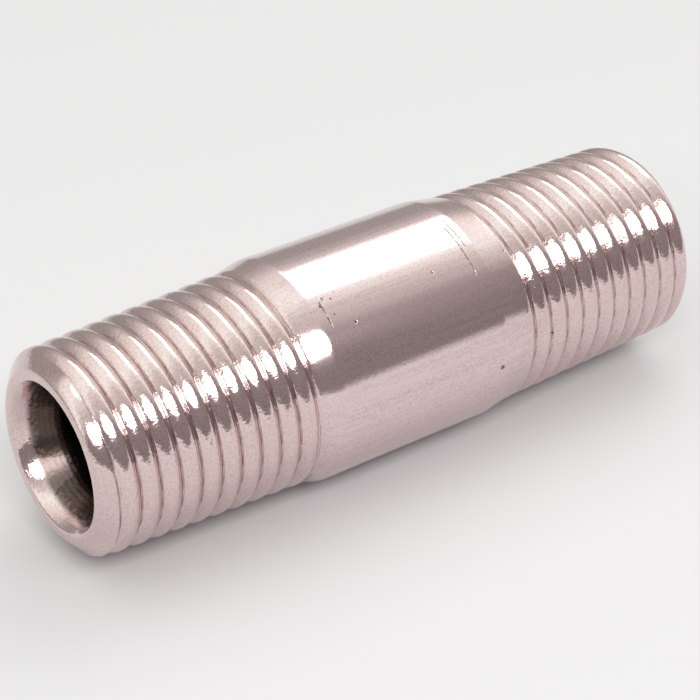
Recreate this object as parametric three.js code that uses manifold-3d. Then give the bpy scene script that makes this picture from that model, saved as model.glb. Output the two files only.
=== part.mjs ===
// Barrel nipple: a short chrome-plated pipe with a male taper thread on each end and a plain
// round barrel between them. Millimetres, +Z up. The bore runs along X and the origin is the
// middle of the bore, so the two ends mirror each other by a half turn about Z.

import * as THREE from 'three';
import { ParametricGeometry } from 'three/addons/geometries/ParametricGeometry.js';
import { mergeGeometries, mergeVertices } from 'three/addons/utils/BufferGeometryUtils.js';
import Module from 'manifold-3d';

const wasm = await Module();
wasm.setup();

// ---- Driving dimensions -------------------------------------------------------------------

const overallLength = 44.45;            // face to face, 1 3/4 in
const threadsPerInch = 19;              // 1/4 in pipe thread
const gaugeDiameter = 13.157;           // thread crest diameter at the gauge plane
const gaugeLength = 6.0;                // from the end face to the gauge plane
const taperPerLength = 1 / 16;          // thread taper, on the diameter
const barrelDiameter = 14.3;
const barrelFlatLength = 11.6;          // full-diameter part of the barrel
const shoulderLength = 1.95;            // gentle bevel from the barrel down to the thread
const boreDiameter = 7.0;
const mouthDiameter = 9.3;              // bore at the end face
const mouthDepth = 2.6;                 // length of the tapered mouth
const faceDiameter = 10.7;              // outer edge of the flat end ring
const leadInLength = 0.85;              // outside chamfer that tops the first thread turn

// ---- Worked out from them -----------------------------------------------------------------

const pitch = 25.4 / threadsPerInch;
const threadDepth = 0.640327 * pitch;   // Whitworth form
const crestWidth = 0.24 * pitch;
const rootWidth = 0.20 * pitch;
const halfLength = overallLength / 2;
const barrelRadius = barrelDiameter / 2;
const flatEnd = barrelFlatLength / 2;
const shoulderEnd = flatEnd + shoulderLength;
const mouthSlope = (mouthDiameter - boreDiameter) / 2 / mouthDepth;
const overrun = 2 * pitch;              // how far a cutting shape runs past what it cuts

const angularSteps = 32;                // facets per turn, on the thread and on round parts

/** Thread crest radius at an axial distance from the middle. */
const crestRadius = (along) => {
  const fromGaugePlane = along - (halfLength - gaugeLength);
  return (gaugeDiameter - fromGaugePlane * taperPerLength) / 2;
};

// One pitch of the thread form: where each corner lies along the pitch, and its depth.
const flankWidth = (pitch - crestWidth - rootWidth) / 2;
const threadForm = [
  { offset: 0, depth: threadDepth },
  { offset: flankWidth, depth: 0 },
  { offset: flankWidth + crestWidth, depth: 0 },
  { offset: 2 * flankWidth + crestWidth, depth: threadDepth },
  { offset: pitch, depth: threadDepth },
];

// ---- Helpers ------------------------------------------------------------------------------

/** Joins surfaces that meet at their edges into one closed solid. */
function toSolid(geometries) {
  const bare = geometries.map((geometry) => {
    const copy = geometry.clone();
    copy.deleteAttribute('normal');
    copy.deleteAttribute('uv');
    return copy;
  });
  const welded = mergeVertices(mergeGeometries(bare), 1e-4);
  const corners = welded.index.array;
  const triangles = [];
  for (let i = 0; i < corners.length; i += 3) {
    const [a, b, c] = corners.slice(i, i + 3);
    if (a !== b && b !== c && c !== a) triangles.push(a, b, c);
  }
  return new wasm.Manifold(new wasm.Mesh({
    numProp: 3,
    vertProperties: new Float32Array(welded.attributes.position.array),
    triVerts: new Uint32Array(triangles),
  }));
}

/** Turns a closed [radius, along] outline about the lathe's own Y axis. */
function turned(outline) {
  const points = outline.map(([radius, along]) => new THREE.Vector2(radius, along));
  return toSolid([new THREE.LatheGeometry(points, angularSteps)]);
}

/** Converts a solid back to a geometry, with the Y lathe axis laid along X. */
function toGeometry(solid) {
  const mesh = solid.getMesh();
  const geometry = new THREE.BufferGeometry();
  geometry.setAttribute('position', new THREE.BufferAttribute(mesh.vertProperties, 3));
  geometry.setIndex(new THREE.BufferAttribute(mesh.triVerts, 1));
  geometry.rotateZ(-Math.PI / 2);
  geometry.computeVertexNormals();
  return geometry;
}

// ---- Thread -------------------------------------------------------------------------------

const screwStart = flatEnd - overrun;
const screwTurns = Math.ceil((halfLength + overrun - screwStart) / pitch);

/** A point of the right-hand thread surface, counted in turns and in corners of the form. */
function threadPoint(turn, corner, target) {
  const { offset, depth } = threadForm[corner];
  const along = screwStart + turn * pitch + offset;
  const radius = crestRadius(along) - depth;
  const angle = turn * 2 * Math.PI;
  return target.set(radius * Math.sin(angle), along, radius * Math.cos(angle));
}

/** The wound strip: one pitch wide, each turn meeting the next along its edge. */
function threadStrip() {
  const corners = threadForm.length - 1;
  const place = (u, v, target) => threadPoint(u * screwTurns, Math.round(v * corners), target);
  return new ParametricGeometry(place, screwTurns * angularSteps, corners);
}

/** Closes one end of the wound strip with a fan about a point on the axis. */
function threadCap(firstTurn, edgeCorner, outward) {
  const corners = threadForm.length - 1;
  const rim = [];
  for (let step = 0; step <= angularSteps; step += 1) {
    rim.push(threadPoint(firstTurn + step / angularSteps, edgeCorner, new THREE.Vector3()));
  }
  const seamTurn = edgeCorner === 0 ? firstTurn : firstTurn + 1;
  for (let step = 1; step <= corners; step += 1) {
    rim.push(threadPoint(seamTurn, corners - step, new THREE.Vector3()));
  }
  const centre = new THREE.Vector3(0, rim[0].y + pitch / 2, 0);
  const place = (u, v, target) => {
    const reach = outward ? v : 1 - v;
    const point = rim[Math.round(u * (rim.length - 1))];
    return target.lerpVectors(centre, point, reach);
  };
  return new ParametricGeometry(place, rim.length - 1, 1);
}

function screw() {
  return toSolid([
    threadStrip(),
    threadCap(0, 0, true),
    threadCap(screwTurns - 1, threadForm.length - 1, false),
  ]);
}

// ---- Turned shapes ------------------------------------------------------------------------

/** The barrel, whose bevels run down to the bottom of the thread and end its last groove. */
function barrel() {
  const grooveEnd = shoulderEnd + 0.65 * pitch;
  const grooveRadius = crestRadius(grooveEnd) - 1.2 * threadDepth;
  const bevelRadius = crestRadius(shoulderEnd) - 0.12 * threadDepth;
  return turned([
    [0, -grooveEnd],
    [grooveRadius, -grooveEnd],
    [bevelRadius, -shoulderEnd],
    [barrelRadius, -flatEnd],
    [barrelRadius, flatEnd],
    [bevelRadius, shoulderEnd],
    [grooveRadius, grooveEnd],
    [0, grooveEnd],
  ]);
}

/** The blank that the threads are cut on: it sets the end faces and the lead-in chamfers. */
function blank() {
  const faceRadius = faceDiameter / 2;
  const leadInStart = halfLength - leadInLength;
  const leadInRadius = crestRadius(leadInStart) + 0.1 * threadDepth;
  const outerRadius = barrelRadius + pitch;
  return turned([
    [0, -halfLength],
    [faceRadius, -halfLength],
    [leadInRadius, -leadInStart],
    [outerRadius, -shoulderEnd],
    [outerRadius, shoulderEnd],
    [leadInRadius, leadInStart],
    [faceRadius, halfLength],
    [0, halfLength],
  ]);
}

/** The through bore with its tapered mouths, run past both faces. */
function bore() {
  const boreRadius = boreDiameter / 2;
  const straightEnd = halfLength - mouthDepth;
  const flareRadius = boreRadius + (mouthDepth + overrun) * mouthSlope;
  return turned([
    [0, -halfLength - overrun],
    [flareRadius, -halfLength - overrun],
    [boreRadius, -straightEnd],
    [boreRadius, straightEnd],
    [flareRadius, halfLength + overrun],
    [0, halfLength + overrun],
  ]);
}

// ---- The one piece ------------------------------------------------------------------------

function nippleBody() {
  const farThread = screw();
  const nearThread = farThread.rotate([0, 0, 180]);
  const outside = barrel().add(farThread).add(nearThread).intersect(blank());
  return toGeometry(outside.subtract(bore()));
}

const chromePlate = new THREE.MeshStandardMaterial({
  name: 'chrome_plate',
  color: 0xdcc4c5,
  roughness: 0.25,
  metalness: 1.0,
});

const nipple = new THREE.Group();
const body = new THREE.Mesh(nippleBody(), chromePlate);
body.name = 'nipple_body';
nipple.add(body);

export default nipple;
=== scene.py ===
"""A chrome-plated barrel nipple lying on a pale studio floor.

The nipple is one piece of metal: a taper thread on each end, a plain round barrel between them,
and a bore with tapered mouths right through. Everything is in metres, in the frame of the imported
model: X runs along the bore, Z is up, and the origin is the middle of the bore.
"""

import logging
import math
from dataclasses import dataclass, field
from enum import Enum
from typing import Any, Iterable, Sequence, Union

import bmesh
import bpy
import numpy as np
from mathutils import Matrix, Vector


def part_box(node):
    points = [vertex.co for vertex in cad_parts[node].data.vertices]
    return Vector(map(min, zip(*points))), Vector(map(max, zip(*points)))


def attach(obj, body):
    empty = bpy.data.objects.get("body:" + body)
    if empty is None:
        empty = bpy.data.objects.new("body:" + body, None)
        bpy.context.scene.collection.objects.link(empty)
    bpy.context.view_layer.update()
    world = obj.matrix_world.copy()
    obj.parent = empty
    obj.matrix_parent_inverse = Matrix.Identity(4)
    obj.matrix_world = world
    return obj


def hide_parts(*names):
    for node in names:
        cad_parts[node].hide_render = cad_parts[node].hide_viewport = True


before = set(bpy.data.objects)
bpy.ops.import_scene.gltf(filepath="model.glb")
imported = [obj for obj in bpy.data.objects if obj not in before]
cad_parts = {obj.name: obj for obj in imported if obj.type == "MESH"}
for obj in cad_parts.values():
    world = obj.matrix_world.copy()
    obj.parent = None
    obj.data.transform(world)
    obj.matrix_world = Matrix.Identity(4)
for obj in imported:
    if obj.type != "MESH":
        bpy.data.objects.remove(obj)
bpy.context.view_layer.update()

log = logging.getLogger("barrel_nipple")

MM = 0.001
BODY = "root"
NODE = "nipple_body"

Colour = tuple[float, float, float]
Point = tuple[float, float]
Span = tuple[float, float]


# ---- Shader maths -------------------------------------------------------------------------


class Signal:
    """A socket that can be used in ordinary arithmetic."""

    def __init__(self, graph: "Graph", socket: bpy.types.NodeSocket) -> None:
        """Wraps a socket.

        Args:
            graph: The graph that the socket's node is in.
            socket: An output socket that carries a number.
        """
        self.graph = graph
        self.socket = socket

    def _math(self, operation: str, *operands: "Number") -> "Signal":
        """Adds one Math node that takes the operands in order."""
        node = self.graph.node("ShaderNodeMath", {"operation": operation}, dict(enumerate(operands)))
        return Signal(self.graph, node.outputs[0])

    def __add__(self, other: "Number") -> "Signal":
        """Sum."""
        return self._math("ADD", self, other)

    def __radd__(self, other: "Number") -> "Signal":
        """Sum, with the number first."""
        return self._math("ADD", other, self)

    def __sub__(self, other: "Number") -> "Signal":
        """Difference."""
        return self._math("SUBTRACT", self, other)

    def __rsub__(self, other: "Number") -> "Signal":
        """Difference, with the number first."""
        return self._math("SUBTRACT", other, self)

    def __mul__(self, other: "Number") -> "Signal":
        """Product."""
        return self._math("MULTIPLY", self, other)

    def __rmul__(self, other: "Number") -> "Signal":
        """Product, with the number first."""
        return self._math("MULTIPLY", other, self)

    def __truediv__(self, other: "Number") -> "Signal":
        """Quotient."""
        return self._math("DIVIDE", self, other)

    def __rtruediv__(self, other: "Number") -> "Signal":
        """Quotient, with the number first."""
        return self._math("DIVIDE", other, self)

    def __abs__(self) -> "Signal":
        """Absolute value."""
        return self._math("ABSOLUTE", self)

    def root(self) -> "Signal":
        """Square root."""
        return self._math("SQRT", self)

    def sine(self) -> "Signal":
        """Sine of an angle in radians."""
        return self._math("SINE", self)

    def angle_over(self, other: "Number") -> "Signal":
        """Angle whose tangent is this over the other, in radians."""
        return self._math("ARCTAN2", self, other)

    def least(self, other: "Number") -> "Signal":
        """The smaller of the two."""
        return self._math("MINIMUM", self, other)

    def most(self, other: "Number") -> "Signal":
        """The larger of the two."""
        return self._math("MAXIMUM", self, other)

    def ease(self, start: float, end: float) -> "Signal":
        """Rises smoothly from 0 to 1 between two values.

        Args:
            start: Where the result is 0.
            end: Where the result is 1; it may be below start.

        Returns:
            The eased signal, held at 0 and 1 outside the two values.
        """
        low, high = (start, end) if start < end else (end, start)
        node = self.graph.node(
            "ShaderNodeMapRange",
            {"interpolation_type": "SMOOTHSTEP"},
            {"Value": self, "From Min": low, "From Max": high},
        )
        eased = Signal(self.graph, node.outputs[0])
        return eased if start < end else 1 - eased


Number = Union[Signal, float]


class Graph:
    """Adds nodes to one node tree and wires them."""

    def __init__(self, tree: bpy.types.NodeTree) -> None:
        """Starts from an empty tree.

        Args:
            tree: The node tree of a material or of the world.
        """
        self.tree = tree
        tree.nodes.clear()

    def node(self, kind: str, settings: dict[str, Any], inputs: dict[Any, Any]) -> bpy.types.Node:
        """Adds one node.

        Args:
            kind: The node's Blender type.
            settings: The node's own settings; "stops" holds a ramp's (position, colour) pairs.
            inputs: Values or links by socket name or number.

        Returns:
            The new node.
        """
        node = self.tree.nodes.new(kind)
        for name, value in settings.items():
            if name == "stops":
                self._set_stops(node.color_ramp, value)
            else:
                setattr(node, name, value)
        for name, value in inputs.items():
            socket = node.inputs[name]
            if isinstance(value, Signal):
                self.tree.links.new(value.socket, socket)
            elif isinstance(value, bpy.types.NodeSocket):
                self.tree.links.new(value, socket)
            else:
                socket.default_value = value
        return node

    @staticmethod
    def _set_stops(ramp: bpy.types.ColorRamp, stops: Sequence[tuple[float, Colour]]) -> None:
        """Gives a ramp its stops.

        Args:
            ramp: The ramp.
            stops: Its (position, colour) pairs.
        """
        while len(ramp.elements) > len(stops):
            ramp.elements.remove(ramp.elements[-1])
        while len(ramp.elements) < len(stops):
            ramp.elements.new(1.0)
        for element, (position, colour) in zip(ramp.elements, stops):
            element.position = position
            element.color = (*colour, 1.0)

    def signal(
        self, kind: str, settings: dict[str, Any], inputs: dict[Any, Any], output: Any = 0
    ) -> Signal:
        """Adds one node and returns one of its outputs.

        Args:
            kind: The node's Blender type.
            settings: The node's own settings.
            inputs: Values or links by socket name or number.
            output: The output's name or number.

        Returns:
            The output as a signal.
        """
        return Signal(self, self.node(kind, settings, inputs).outputs[output])

    def blend(self, share: Number, first: Any, second: Any) -> bpy.types.NodeSocket:
        """Mixes two colours.

        Args:
            share: How much of the second colour shows, 0 to 1.
            first: A colour, or a socket that carries one.
            second: A colour, or a socket that carries one.

        Returns:
            The socket of the mixed colour.
        """
        paint = [(*c, 1.0) if isinstance(c, tuple) else c for c in (first, second)]
        mix = self.node("ShaderNodeMix", {"data_type": "RGBA"}, {0: share, 6: paint[0], 7: paint[1]})
        return mix.outputs[2]

    def point(self, x: Number, y: Number, z: Number) -> bpy.types.NodeSocket:
        """Joins three numbers into a vector."""
        return self.node("ShaderNodeCombineXYZ", {}, {0: x, 1: y, 2: z}).outputs[0]

    def noise(self, vector: bpy.types.NodeSocket, scale: float, detail: float = 2.0) -> Signal:
        """Soft noise about 0.5.

        Args:
            vector: Where the noise is read.
            scale: Blotches per unit of the vector.
            detail: Octaves of finer noise on top.

        Returns:
            The noise value.
        """
        inputs = {"Vector": vector, "Scale": scale, "Detail": detail}
        return self.signal("ShaderNodeTexNoise", {}, inputs)


# ---- Sizes --------------------------------------------------------------------------------


def smooth_step(values: np.ndarray, start: float, end: float) -> np.ndarray:
    """Rises smoothly from 0 to 1.

    Args:
        values: Where to read the step.
        start: Where it is 0.
        end: Where it is 1.

    Returns:
        The eased values.
    """
    share = np.clip((values - start) / (end - start), 0, 1)
    return share * share * (3 - 2 * share)


@dataclass(frozen=True)
class ThreadForm:
    """A worn taper pipe thread: broad rounded crests, straight flanks and a narrow root groove.

    Attributes:
        per_inch: Turns per inch.
        gauge_diameter: Crest diameter at the gauge plane.
        gauge_length: From the end face to the gauge plane.
        taper: Change of diameter per unit of length.
        flank_lean: Lean of a flank away from the axis, in degrees.
        crest_share: Width of the rounded crest, in pitches.
        root_share: Width of the root groove, in pitches.
        root_depth: How far the root groove goes below the flanks.
    """

    per_inch: float = 19.0
    gauge_diameter: float = 13.157 * MM
    gauge_length: float = 6.0 * MM
    taper: float = 1 / 16
    flank_lean: float = 38.0
    crest_share: float = 0.62
    root_share: float = 0.12
    root_depth: float = 0.12 * MM

    @property
    def pitch(self) -> float:
        """Length of one turn."""
        return 25.4 * MM / self.per_inch

    @property
    def slope(self) -> float:
        """Steepness of a flank."""
        return math.tan(math.radians(self.flank_lean))

    @property
    def crest_rounding(self) -> float:
        """Radius of the rounded crest."""
        return self.crest_share / 2 * self.pitch / math.sin(math.radians(self.flank_lean))

    @property
    def depth(self) -> float:
        """Height of a crest above a root."""
        drop = self.crest_rounding * (1 - math.cos(math.radians(self.flank_lean)))
        return drop + (1 - self.crest_share) / 2 * self.pitch * self.slope + self.root_depth

    def crest_radius(self, along: Any, half_length: float) -> Any:
        """Radius of the crests.

        Args:
            along: Distance from the middle of the nipple.
            half_length: Distance from the middle to the end face.

        Returns:
            The crest radius there, a number or an array as along is.
        """
        from_gauge = along - (half_length - self.gauge_length)
        return self.gauge_diameter / 2 - from_gauge * (self.taper / 2)

    def groove(self, turns: np.ndarray) -> np.ndarray:
        """Depth of the worn, rounded thread form.

        Args:
            turns: Place along the thread in pitches, with a crest at each whole number.

        Returns:
            The depth below the crest, from 0 to the thread's full depth.
        """
        offset = np.abs(turns - np.round(turns)) * self.pitch
        crest_end = self.crest_share / 2 * self.pitch
        on_crest = np.minimum(offset, crest_end)
        crest = self.crest_rounding - np.sqrt(self.crest_rounding**2 - on_crest**2)
        flank = np.maximum(offset - crest_end, 0) * self.slope
        root_start = (1 - self.root_share) / 2 * self.pitch
        return crest + flank + self.root_depth * smooth_step(offset, root_start, self.pitch / 2)


@dataclass(frozen=True)
class Corner:
    """A corner of a turned outline.

    Attributes:
        along: Distance along the axis.
        radius: Distance from the axis.
        rounding: Radius of the arc that replaces the corner, 0 to keep it sharp.
    """

    along: float
    radius: float
    rounding: float = 0.0


def round_corners(corners: Sequence[Corner], steps: int) -> list[Point]:
    """Replaces each rounded corner of a closed outline by an arc.

    Args:
        corners: The corners in order.
        steps: Straight pieces per arc.

    Returns:
        The outline's points as (along, radius) pairs.
    """
    points: list[Point] = []
    count = len(corners)
    for index, corner in enumerate(corners):
        here = Vector((corner.along, corner.radius))
        if corner.rounding == 0:
            points.append(tuple(here))
            continue
        before = corners[index - 1]
        after = corners[(index + 1) % count]
        back = (Vector((before.along, before.radius)) - here).normalized()
        ahead = (Vector((after.along, after.radius)) - here).normalized()
        half_angle = math.acos(max(-1.0, min(1.0, back.dot(ahead)))) / 2
        centre = here + (back + ahead).normalized() * (corner.rounding / math.sin(half_angle))
        first = here + back * (corner.rounding / math.tan(half_angle)) - centre
        last = here + ahead * (corner.rounding / math.tan(half_angle)) - centre
        sweep = math.atan2(first.x * last.y - first.y * last.x, first.dot(last))
        for step in range(steps + 1):
            turn = sweep * step / steps
            spoke = Vector((
                first.x * math.cos(turn) - first.y * math.sin(turn),
                first.x * math.sin(turn) + first.y * math.cos(turn),
            ))
            points.append(tuple(centre + spoke))
    return points


# ---- The nipple ---------------------------------------------------------------------------


@dataclass
class BarrelNipple:
    """The whole nipple: one bar, turned, threaded and drilled.

    Attributes:
        half_length: From the middle to an end face.
        barrel_radius: Radius of the plain middle.
        thread: The form of both threads.
        bore_radius: Radius of the bore.
        throat_radius: Radius where the mouth's lip meets the tapered part behind it.
        mouth_radius: Radius of the opening in the end face.
        bell_depth: How far in the mouth's taper goes.
        throat_depth: How far in the throat is.
        face_radius: Outer radius of the flat end ring.
        lead_in: Length of the slope from the end ring up to the thread.
        near_flat: From the middle to the near end of the plain round part.
        far_flat: From the middle to its far end.
        shoulder_end: From the middle to where a shoulder meets its thread.
        near_start: Where the near thread starts, in turns.
        far_start: Where the far thread starts, in turns.
        thread_rise: Distances from the face where a thread starts and is fully cut.
        thread_fade: Distances past the shoulder's end where a thread dies out and is fully cut.
        facets: Faces round the nipple.
        arc_steps: Straight pieces per rounded corner.
        thread_cuts: Cuts that divide a thread line, and then each of its pieces again.
        seam_gap: Points closer than this are joined.
        nicks: How many small dents the threads have.
        nick_depth: Depth of the deepest dent.
        nick_sizes: Radii of the smallest and the largest dent.
        seed: Start of the random draws.
    """

    half_length: float
    barrel_radius: float
    thread: ThreadForm = field(default_factory=ThreadForm)
    bore_radius: float = 3.50 * MM
    throat_radius: float = 4.42 * MM
    mouth_radius: float = 4.75 * MM
    bell_depth: float = 2.6 * MM
    throat_depth: float = 0.45 * MM
    face_radius: float = 5.30 * MM
    lead_in: float = 0.85 * MM
    near_flat: float = 6.4 * MM
    far_flat: float = 5.8 * MM
    shoulder_end: float = 7.75 * MM
    near_start: float = 0.889
    far_start: float = 0.560
    thread_rise: Span = (0.10 * MM, 0.75 * MM)
    thread_fade: Span = (-0.35 * MM, 0.55 * MM)
    facets: int = 144
    arc_steps: int = 6
    thread_cuts: int = 15
    seam_gap: float = 0.002 * MM
    nicks: int = 60
    nick_depth: float = 0.05 * MM
    nick_sizes: Span = (0.10 * MM, 0.28 * MM)
    seed: int = 7

    def crest(self, along: Any) -> Any:
        """Crest radius at a distance from the middle."""
        return self.thread.crest_radius(along, self.half_length)

    def _half_outline(self, flat: float) -> list[Corner]:
        """Corners of one end, from the bore round the lip to the end of the barrel's flat.

        Args:
            flat: From the middle to the end of the barrel's flat.

        Returns:
            The corners, in order.
        """
        face = self.half_length
        lead = face - self.lead_in
        return [
            Corner(face - self.bell_depth, self.bore_radius, 2.5 * MM),
            Corner(face - self.throat_depth, self.throat_radius, 0.9 * MM),
            Corner(face, self.mouth_radius, 0.35 * MM),
            Corner(face, self.face_radius, 0.45 * MM),
            Corner(lead, self.crest(lead), 0.60 * MM),
            Corner(self.shoulder_end, self.crest(self.shoulder_end)),
            Corner(flat, self.barrel_radius, 1.4 * MM),
        ]

    def outline(self) -> list[Point]:
        """Joins both ends into the closed outline that is spun about the bore.

        Returns:
            The outline's (along, radius) pairs.
        """
        far = self._half_outline(self.far_flat)
        near = self._half_outline(self.near_flat)
        near = [Corner(-corner.along, corner.radius, corner.rounding) for corner in reversed(near)]
        return round_corners(far + near, self.arc_steps)

    def build(self) -> bpy.types.Object:
        """Turns the blank and cuts both threads.

        Returns:
            The finished piece, at the origin.
        """
        piece = self._draw_outline(self.outline())
        self._divide_thread_lines(piece)
        self._spin(piece)
        self._cut_threads(piece)
        piece.name = "plated_nipple"
        piece.data.name = "plated_nipple"
        return piece

    def _draw_outline(self, points: Sequence[Point]) -> bpy.types.Object:
        """Draws the closed outline in the XZ plane by extruding one vertex.

        Args:
            points: The outline's (along, radius) pairs.

        Returns:
            The outline as an object.
        """
        bpy.ops.object.select_all(action="DESELECT")
        bpy.ops.mesh.primitive_plane_add(size=1.0, location=(0, 0, 0))
        piece = bpy.context.object
        bpy.ops.object.mode_set(mode="EDIT")
        bpy.ops.mesh.select_all(action="SELECT")
        bpy.ops.mesh.merge(type="CENTER")
        bpy.ops.mesh.select_mode(type="VERT")
        bpy.ops.transform.translate(value=(points[0][0], 0, points[0][1]))
        for (start_along, start_radius), (along, radius) in zip(points, points[1:]):
            step = (along - start_along, 0, radius - start_radius)
            bpy.ops.mesh.extrude_region_move(TRANSFORM_OT_translate={"value": step})
        bpy.ops.mesh.select_all(action="DESELECT")
        mesh = bmesh.from_edit_mesh(piece.data)
        for vertex in mesh.verts:
            vertex.select = len(vertex.link_edges) == 1
        mesh.select_flush_mode()
        bmesh.update_edit_mesh(piece.data)
        bpy.ops.mesh.edge_face_add()
        bpy.ops.object.mode_set(mode="OBJECT")
        return piece

    def _divide_thread_lines(self, piece: bpy.types.Object) -> None:
        """Divides the long crest lines finely enough to hold the thread form.

        Args:
            piece: The outline.
        """
        bpy.ops.object.mode_set(mode="EDIT")
        bpy.ops.mesh.select_mode(type="EDGE")
        bpy.ops.mesh.select_all(action="DESELECT")
        mesh = bmesh.from_edit_mesh(piece.data)
        for edge in mesh.edges:
            centre = (edge.verts[0].co + edge.verts[1].co) / 2
            on_thread = abs(centre.x) > self.shoulder_end and centre.z > self.face_radius
            edge.select = on_thread and edge.calc_length() > self.thread.pitch
        bmesh.update_edit_mesh(piece.data)
        bpy.ops.mesh.subdivide(number_cuts=self.thread_cuts)
        bpy.ops.mesh.subdivide(number_cuts=self.thread_cuts)
        bpy.ops.object.mode_set(mode="OBJECT")

    def _spin(self, piece: bpy.types.Object) -> None:
        """Spins the outline about the bore and closes the seam.

        Args:
            piece: The outline, which becomes the blank.
        """
        bpy.ops.object.mode_set(mode="EDIT")
        bpy.ops.mesh.select_all(action="SELECT")
        bpy.ops.mesh.spin(
            steps=self.facets, angle=2 * math.pi, center=(0, 0, 0), axis=(1, 0, 0), dupli=False
        )
        bpy.ops.mesh.select_all(action="SELECT")
        bpy.ops.mesh.remove_doubles(threshold=self.seam_gap)
        bpy.ops.mesh.normals_make_consistent(inside=False)
        bpy.ops.mesh.faces_shade_smooth()
        bpy.ops.object.mode_set(mode="OBJECT")

    def _cut_threads(self, piece: bpy.types.Object) -> None:
        """Sinks the outside of the blank wherever the thread runs below it.

        Args:
            piece: The blank.
        """
        mesh = piece.data
        places = np.empty(len(mesh.vertices) * 3)
        mesh.vertices.foreach_get("co", places)
        places = places.reshape(-1, 3)
        along, across, up = places.T
        radius = np.hypot(across, up)
        turn = np.arctan2(up, across) / (2 * math.pi)
        distance = np.abs(along)
        start = np.where(along < 0, self.near_start, self.far_start)
        rise = smooth_step(self.half_length - distance, *self.thread_rise)
        fade = smooth_step(distance - self.shoulder_end, *self.thread_fade)
        cut = self.thread.groove(along / self.thread.pitch - turn + start) * rise * fade
        cut_radius = self.crest(distance) - cut - self._dents(distance, turn)
        outside = (radius > self.face_radius - 0.1 * MM) & (distance > self.shoulder_end - 0.4 * MM)
        sunk = np.where(outside, np.minimum(radius, cut_radius), radius)
        places[:, 1] *= sunk / radius
        places[:, 2] *= sunk / radius
        mesh.vertices.foreach_set("co", places.reshape(-1))
        mesh.update()

    def _dents(self, distance: np.ndarray, turn: np.ndarray) -> np.ndarray:
        """Small dents that use has left on the threads.

        Args:
            distance: Distance from the middle of the nipple.
            turn: Place round the nipple, in turns.

        Returns:
            The depth of the dents at each place.
        """
        random = np.random.default_rng(self.seed)
        dents = np.zeros_like(distance)
        for _ in range(self.nicks):
            place = random.uniform(self.shoulder_end, self.half_length)
            where = random.uniform(-0.5, 0.5)
            size = random.uniform(*self.nick_sizes)
            away_turn = np.abs(turn - where)
            away = np.minimum(away_turn, 1 - away_turn) * 2 * math.pi * self.barrel_radius
            gap = ((distance - place) ** 2 + away**2) / size**2
            dents += self.nick_depth * random.uniform(0.3, 1.0) * np.exp(-gap)
        return dents


# ---- Finishes -----------------------------------------------------------------------------


@dataclass(frozen=True)
class Pit:
    """A pin-hole in the barrel's plate.

    Attributes:
        along: Distance from the middle, far end positive.
        turn: Angle round the barrel from +Y towards +Z, in degrees.
        size: Its radius.
    """

    along: float
    turn: float
    size: float


@dataclass(frozen=True)
class ToolMark:
    """A fine line that a tool left part of the way round the barrel.

    Attributes:
        along: Distance from the middle, far end positive.
        start: Angle where it begins, from +Y towards +Z, in degrees.
        end: Angle where it ends.
        width: How wide it is.
    """

    along: float
    start: float
    end: float
    width: float = 0.05 * MM


@dataclass(frozen=True)
class Places:
    """Where a spot of the surface is, as signals that the finish reads.

    Attributes:
        spot: Object coordinates.
        along: Distance along the axis, far end positive.
        across: Distance from the axis along Y.
        up: Distance from the axis along Z.
        distance: Distance from the middle of the nipple.
        turn: Angle round the axis from +Y towards +Z, in radians.
        from_face: Distance from the nearer end face.
        threaded: 1 beyond the shoulders, 0 on the barrel.
        barrel: 1 on the barrel, 0 beyond the shoulders.
        bored: 1 on the bore and the throat, 0 outside.
        rootness: 1 in the bottoms of the thread grooves.
    """

    spot: bpy.types.NodeSocket
    along: Signal
    across: Signal
    up: Signal
    distance: Signal
    turn: Signal
    from_face: Signal
    threaded: Signal
    barrel: Signal
    bored: Signal
    rootness: Signal


@dataclass(frozen=True)
class Grain:
    """Unevenness of the plate, as signals about 0.5.

    Attributes:
        streaks: Fine lines along the barrel.
        blotches: Broad stains.
        speckle: The finest specks.
        peel: Small soft bumps.
    """

    streaks: Signal
    blotches: Signal
    speckle: Signal
    peel: Signal


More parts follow.
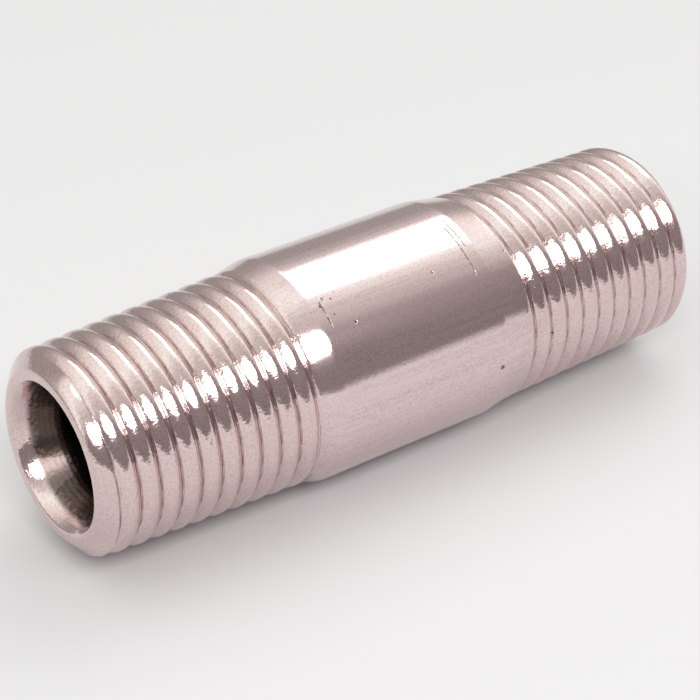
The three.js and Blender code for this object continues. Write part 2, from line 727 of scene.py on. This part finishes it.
@dataclass(frozen=True)
class ChromePlate:
    """Bright plate outside, and a dark colour painted deep in the bore as painted shade, beginning at a
    ragged edge.

    Attributes:
        plate: Colour of the clean plate.
        dull: Colour of the plate where it is stained.
        brown: Colour of the stained plate on the threads.
        root: Colour in the bottoms of the thread grooves.
        bore: Dark colour painted deep in the bore as painted shade.
        painted_shade_start: Distances from the face where the painted shade starts and is full.
        painted_shade_ragged: How far noise moves the painted shade's edge.
        lit_side_reach: How much further in the painted shade starts on one side, where light falls into
            the bore: painted light.
        lit_side_start: Angles round the axis where that side rises, in radians.
        lit_side_end: Angles round the axis where that side falls, in radians.
        feed: Spacing of the drill's feed marks in the bore.
        pits: Pin-holes in the barrel.
        marks: Tool marks on the barrel.
    """

    plate: Colour = (0.74, 0.595, 0.592)
    dull: Colour = (0.58, 0.455, 0.448)
    brown: Colour = (0.58, 0.44, 0.395)
    root: Colour = (0.19, 0.145, 0.135)
    # Painted shade: the dark bore colour stands in for the shade deep in the bore.
    bore: Colour = (0.10, 0.076, 0.064)
    painted_shade_start: Span = (1.05 * MM, 1.3 * MM)
    painted_shade_ragged: float = 1.8 * MM
    lit_side_reach: float = 1.5 * MM
    lit_side_start: Span = (-1.15, -1.0)
    lit_side_end: Span = (-0.60, -0.72)
    feed: float = 0.33 * MM
    pits: tuple[Pit, ...] = (
        Pit(-4.16 * MM, 134, 0.13 * MM),
        Pit(-5.80 * MM, 121, 0.12 * MM),
        Pit(5.44 * MM, 184, 0.20 * MM),
        Pit(-5.20 * MM, 127, 0.09 * MM),
        Pit(-4.90 * MM, 119, 0.08 * MM),
    )
    marks: tuple[ToolMark, ...] = (
        ToolMark(4.95 * MM, 103, 132),
        ToolMark(5.30 * MM, 98, 118, 0.04 * MM),
        ToolMark(-5.72 * MM, 117, 131, 0.07 * MM),
        ToolMark(-5.40 * MM, 114, 119, 0.09 * MM),
    )

    def dress(self, piece: bpy.types.Object, nipple: BarrelNipple) -> None:
        """Makes the material and gives it to the piece.

        Args:
            piece: The finished nipple.
            nipple: Its sizes.
        """
        material = bpy.data.materials.new("chrome_plate")
        material.use_nodes = True
        self._wire(Graph(material.node_tree), nipple)
        piece.data.materials.clear()
        piece.data.materials.append(material)

    def _wire(self, graph: Graph, nipple: BarrelNipple) -> None:
        """Builds the nodes.

        Args:
            graph: The material's graph.
            nipple: The nipple's sizes.
        """
        places = self._places(graph, nipple)
        grain = self._grain(graph, places)
        holes = self._pits(graph, places, nipple).most(self._marks(places, grain))
        # inside: painted shade deep in the bore, with painted light on its lit side.
        inside = self._painted_bore_shade(places, grain)
        height = self._height(places, grain, holes)
        bump = graph.node("ShaderNodeBump", {}, {"Strength": 1.0, "Distance": MM, "Height": height})
        shader = graph.node(
            "ShaderNodeBsdfPrincipled",
            {},
            {
                "Base Color": self._colour(graph, places, grain, holes, inside),
                "Metallic": 1.0,
                "Roughness": self._roughness(places, grain, inside),
                "Normal": bump.outputs[0],
            },
        )
        graph.node("ShaderNodeOutputMaterial", {}, {"Surface": shader.outputs[0]})

    @staticmethod
    def _places(graph: Graph, nipple: BarrelNipple) -> Places:
        """Works out where on the nipple each spot is.

        Args:
            graph: The material's graph.
            nipple: Its sizes.

        Returns:
            The signals that tell the parts of the nipple apart.
        """
        spot = graph.node("ShaderNodeTexCoord", {}, {}).outputs["Object"]
        split = graph.node("ShaderNodeSeparateXYZ", {}, {0: spot})
        along, across, up = (Signal(graph, split.outputs[i]) for i in range(3))
        distance = abs(along)
        radius = (across * across + up * up).root()
        from_face = nipple.half_length - distance
        threaded = distance.ease(nipple.shoulder_end - 0.2 * MM, nipple.shoulder_end + 0.2 * MM)
        crest = nipple.crest(0.0) - distance * (nipple.thread.taper / 2)
        depth = ((crest - radius) / nipple.thread.depth).most(0.0).least(1.0)
        return Places(
            spot=spot,
            along=along,
            across=across,
            up=up,
            distance=distance,
            turn=up.angle_over(across),
            from_face=from_face,
            threaded=threaded,
            barrel=1 - threaded,
            bored=1 - radius.ease(nipple.throat_radius - 0.1 * MM, nipple.mouth_radius),
            rootness=depth.ease(0.70, 0.95) * threaded * from_face.ease(0.7 * MM, 1.1 * MM),
        )

    @staticmethod
    def _grain(graph: Graph, places: Places) -> Grain:
        """Reads the noises that make the plate uneven.

        Args:
            graph: The material's graph.
            places: Where the spot is.

        Returns:
            The noises.
        """
        stretched = graph.point(places.along * 70, places.across * 3600, places.up * 3600)
        return Grain(
            streaks=graph.noise(stretched, 1.0, 4.0),
            blotches=graph.noise(places.spot, 160.0, 3.0),
            speckle=graph.noise(places.spot, 8200.0, 2.0),
            peel=graph.noise(places.spot, 3600.0, 3.0),
        )

    def _painted_bore_shade(self, places: Places, grain: Grain) -> Signal:
        """Where the painted shade in the bore is, with painted light on one side.

        Args:
            places: Where the spot is.
            grain: Unevenness of the plate, which makes the painted shade's edge ragged.

        Returns:
            0 where the plate colour shows and 1 deep in the bore, where the painted shade is full.
        """
        # Painted light: on the lower back wall, where the front light falls into the mouth, the painted
        # shade starts further in.
        tongue = places.turn.ease(*self.lit_side_start) * places.turn.ease(*self.lit_side_end)
        ragged = places.from_face + (grain.peel - 0.5) * self.painted_shade_ragged - tongue * self.lit_side_reach
        return places.bored * ragged.ease(*self.painted_shade_start)

    def _colour(
        self, graph: Graph, places: Places, grain: Grain, holes: Signal, inside: Signal
    ) -> bpy.types.NodeSocket:
        """Colours the metal.

        Args:
            graph: The material's graph.
            places: Where the spot is.
            grain: Unevenness of the plate.
            holes: How much of a pit or a tool mark there is.
            inside: How much painted shade the bore gets, less on its painted lit side.

        Returns:
            The socket of the colour.
        """
        specks = (grain.speckle - 0.5) * 3.0 + (grain.streaks - 0.5) * places.barrel * 1.6
        stain = (grain.blotches.ease(0.50, 0.78) * 0.30 + specks + 0.2).most(0.0).least(1.0)
        stained = graph.blend(places.threaded, self.dull, self.brown)
        colour = graph.blend(stain, self.plate, stained)
        colour = graph.blend(places.rootness, colour, self.root)
        colour = graph.blend(holes, colour, self.root)
        # Painted shade deep in the bore; painted light keeps the plate colour further in on the lit side.
        return graph.blend(inside, colour, self.bore)

    @staticmethod
    def _roughness(places: Places, grain: Grain, inside: Signal) -> Signal:
        """Roughness: bright plate, duller roots, and a barrel with a brushed look."""
        brushed = grain.streaks * places.barrel * 0.08
        return 0.075 + brushed + grain.speckle * 0.06 + places.rootness * 0.2 - inside * 0.04

    def _height(self, places: Places, grain: Grain, holes: Signal) -> Signal:
        """Height of the fine relief, in millimetres.

        Args:
            places: Where the spot is.
            grain: Unevenness of the plate.
            holes: How much of a pit or a tool mark there is.

        Returns:
            The height.
        """
        brushed = grain.streaks * places.barrel * 0.0020
        worn = grain.peel * (places.threaded * 0.011 + 0.003)
        uneven = grain.speckle * 0.0015 + grain.blotches * 0.004
        wavering = places.distance + (grain.peel - 0.5) * (0.25 * MM)
        ridges = (wavering * (2 * math.pi / self.feed)).sine() * 0.0018
        drilled = ridges * places.bored * places.from_face.ease(0.3 * MM, 1.0 * MM)
        return brushed + worn + uneven + drilled - holes * 0.03

    def _marks(self, places: Places, grain: Grain) -> Signal:
        """Tool marks round the barrel.

        Args:
            places: Where the spot is.
            grain: Unevenness of the plate, which makes the marks waver and fade.

        Returns:
            How much of a mark there is, 0 to 1.
        """
        wavering = places.along + (grain.peel - 0.5) * (0.12 * MM)
        fading = grain.peel.ease(0.36, 0.52)
        blur = 0.05
        marks: Number = 0.0
        for mark in self.marks:
            line = abs(wavering - mark.along).ease(mark.width, mark.width * 0.4)
            start, end = math.radians(mark.start), math.radians(mark.end)
            reach = places.turn.ease(start - blur, start + blur) * places.turn.ease(end + blur, end - blur)
            marks = (line * reach * fading).most(marks)
        return marks * places.barrel

    def _pits(self, graph: Graph, places: Places, nipple: BarrelNipple) -> Signal:
        """Pin-holes in the plate: a few listed one by one, and a sprinkle of smaller ones.

        Args:
            graph: The material's graph.
            places: Where the spot is.
            nipple: Its sizes.

        Returns:
            How much of a pit there is, 0 to 1.
        """
        cells = graph.node("ShaderNodeTexVoronoi", {}, {"Vector": places.spot, "Scale": 900.0})
        tint = graph.node("ShaderNodeSeparateColor", {}, {0: cells.outputs["Color"]})
        chosen = Signal(graph, tint.outputs[0]).ease(0.93, 0.95)
        pits = Signal(graph, cells.outputs["Distance"]).ease(0.11, 0.05) * chosen
        for pit in self.pits:
            turn = math.radians(pit.turn)
            centre = Vector((0, math.cos(turn), math.sin(turn))) * nipple.barrel_radius
            centre.x = pit.along
            inputs = {0: places.spot, 1: centre}
            away = graph.signal("ShaderNodeVectorMath", {"operation": "DISTANCE"}, inputs, "Value")
            pits = pits.most(away.ease(pit.size, pit.size * 0.5))
        return pits


# ---- Studio -------------------------------------------------------------------------------


class LightShape(Enum):
    """Outline of a light's bright face."""

    BOX = "RECTANGLE"
    OVAL = "ELLIPSE"

    @property
    def fill(self) -> float:
        """Share of the outline's own box that it fills."""
        return 1.0 if self is LightShape.BOX else math.pi / 4


@dataclass(frozen=True)
class SoftBox:
    """A large soft light aimed at the nipple.

    Attributes:
        name: What it is called.
        tilt: Angle about the nipple's axis from straight up, in degrees, front side positive.
        swing: Angle along the axis, in degrees, far end positive.
        distance: From the nipple's middle.
        width: Size along the nipple's axis.
        height: Size across it.
        radiance: Brightness as seen in a mirror.
        shape: Outline of its bright face.
    """

    name: str
    tilt: float
    swing: float
    distance: float
    width: float
    height: float
    radiance: float
    shape: LightShape = LightShape.BOX

    def place(self) -> None:
        """Adds the light."""
        tilt, swing = math.radians(self.tilt), math.radians(self.swing)
        toward = Vector((
            math.sin(swing),
            -math.cos(swing) * math.sin(tilt),
            math.cos(swing) * math.cos(tilt),
        ))
        light = bpy.data.lights.new(self.name, "AREA")
        light.shape = self.shape.value
        light.size = self.width
        light.size_y = self.height
        light.energy = self.radiance * math.pi * self.width * self.height * self.shape.fill
        holder = bpy.data.objects.new(self.name, light)
        holder.location = toward * self.distance
        level = (Vector((1, 0, 0)) - toward * toward.x).normalized()
        columns = Matrix((level, toward.cross(level), toward))
        holder.rotation_euler = columns.transposed().to_euler()
        bpy.context.scene.collection.objects.link(holder)


@dataclass
class Studio:
    """Floor, lights and surroundings.

    Attributes:
        floor_height: Where the floor is, so that the nipple rests on it.
        floor_size: Side of the square floor.
        floor_colour: Its colour.
    """

    floor_height: float
    floor_size: float = 3.0
    floor_colour: Colour = (0.60, 0.592, 0.604)

    def build(self) -> None:
        """Adds the floor, the surroundings and the lights."""
        self._floor()
        self._surroundings()
        for box in self._boxes():
            box.place()

    def _boxes(self) -> Iterable[SoftBox]:
        """The soft lights."""
        yield SoftBox(
            "overhead_box", tilt=-25, swing=30.5, distance=0.6, width=0.29, height=0.375, radiance=1.6
        )
        yield SoftBox(
            "window", tilt=43.5, swing=-15, distance=0.6, width=0.94, height=0.25, radiance=5.8,
            shape=LightShape.OVAL,
        )

    def _floor(self) -> None:
        """A plain pale floor that the nipple rests on."""
        bpy.ops.object.select_all(action="DESELECT")
        bpy.ops.mesh.primitive_plane_add(size=self.floor_size, location=(0, 0, self.floor_height))
        floor = bpy.context.object
        bpy.ops.object.transform_apply(location=True, rotation=True, scale=True)
        floor.name = "floor"
        material = bpy.data.materials.new("pale_floor")
        material.use_nodes = True
        graph = Graph(material.node_tree)
        inputs = {"Base Color": (*self.floor_colour, 1.0), "Roughness": 0.9, "Specular IOR Level": 0.1}
        shader = graph.node("ShaderNodeBsdfPrincipled", {}, inputs)
        graph.node("ShaderNodeOutputMaterial", {}, {"Surface": shader.outputs[0]})
        floor.data.materials.append(material)

    def _surroundings(self) -> None:
        """A soft tent: brightest overhead and just behind, dimmer at the front and low behind."""
        world = bpy.data.worlds.new("soft_tent")
        world.use_nodes = True
        graph = Graph(world.node_tree)
        direction = graph.node("ShaderNodeTexCoord", {}, {}).outputs["Generated"]
        split = graph.node("ShaderNodeSeparateXYZ", {}, {0: direction})
        across, up = (Signal(graph, split.outputs[i]) for i in (1, 2))
        tilt = (across * -1.0).angle_over(up) / (2 * math.pi) + 0.5
        ramp = graph.node("ShaderNodeValToRGB", {"stops": self._tent_stops()}, {0: tilt})
        background = graph.node("ShaderNodeBackground", {}, {"Color": ramp.outputs[0], "Strength": 1.0})
        graph.node("ShaderNodeOutputWorld", {}, {"Surface": background.outputs[0]})
        bpy.context.scene.world = world

    @staticmethod
    def _tent_stops() -> list[tuple[float, Colour]]:
        """Brightness and tint round the nipple's axis, by degrees from straight up.

        Returns:
            The ramp's (position, colour) pairs.
        """
        pale, warm, plum = (0.97, 1.04, 1.0), (1.0, 0.98, 0.94), (1.0, 0.90, 0.92)
        tones = [(-180, 0.40, warm), (-95, 0.42, warm), (-72, 0.45, warm), (-58, 0.62, warm),
                 (-42, 1.05, warm), (-8, 1.35, pale), (-1, 1.27, pale), (12, 0.92, warm),
                 (25, 0.71, warm), (37, 0.45, plum), (49, 0.40, plum), (61, 0.34, plum),
                 (88, 0.30, plum), (92, 0.50, warm), (180, 0.40, warm)]
        return [((angle + 180) / 360, tuple(grey * part for part in tint)) for angle, grey, tint in tones]


@dataclass(frozen=True)
class Viewpoint:
    """The camera: where it stands and how long its lens is.

    Attributes:
        turn: Degrees round from straight in front, towards the near end.
        elevation: Degrees above the floor.
        distance: From the nipple's middle.
        lens: Focal length in millimetres, on a 36 mm sensor.
        aside: How far right of the nipple's middle the camera aims, in its own picture.
        above: How far above the middle it aims.
    """

    turn: float = 36.08
    elevation: float = 32.03
    distance: float = 144.1 * MM
    lens: float = 119.25
    aside: float = -0.78 * MM
    above: float = -0.72 * MM

    def place(self) -> None:
        """Adds the camera and makes it the scene's own."""
        turn, elevation = math.radians(self.turn), math.radians(self.elevation)
        forward = Vector((
            math.sin(turn) * math.cos(elevation),
            math.cos(turn) * math.cos(elevation),
            -math.sin(elevation),
        ))
        right = forward.cross(Vector((0, 0, 1))).normalized()
        rise = right.cross(forward)
        aim = right * self.aside + rise * self.above
        data = bpy.data.cameras.new("camera")
        data.lens = self.lens
        data.clip_start = 0.01
        camera = bpy.data.objects.new("camera", data)
        camera.location = aim - forward * self.distance
        camera.rotation_euler = forward.to_track_quat("-Z", "Y").to_euler()
        bpy.context.scene.collection.objects.link(camera)
        bpy.context.scene.camera = camera


# ---- Assembly -----------------------------------------------------------------------------


def main() -> None:
    """Builds the nipple, the studio and the camera."""
    logging.basicConfig(level=logging.INFO, format="%(message)s")
    low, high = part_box(NODE)
    nipple = BarrelNipple(half_length=high.x, barrel_radius=high.z)
    piece = nipple.build()
    ChromePlate().dress(piece, nipple)
    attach(piece, BODY)
    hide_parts(NODE)
    log.info("%s: %d faces", piece.name, len(piece.data.polygons))
    Studio(floor_height=low.z).build()
    Viewpoint().place()
    bpy.context.scene.view_settings.view_transform = "Standard"


if __name__ == "__main__":
    main()
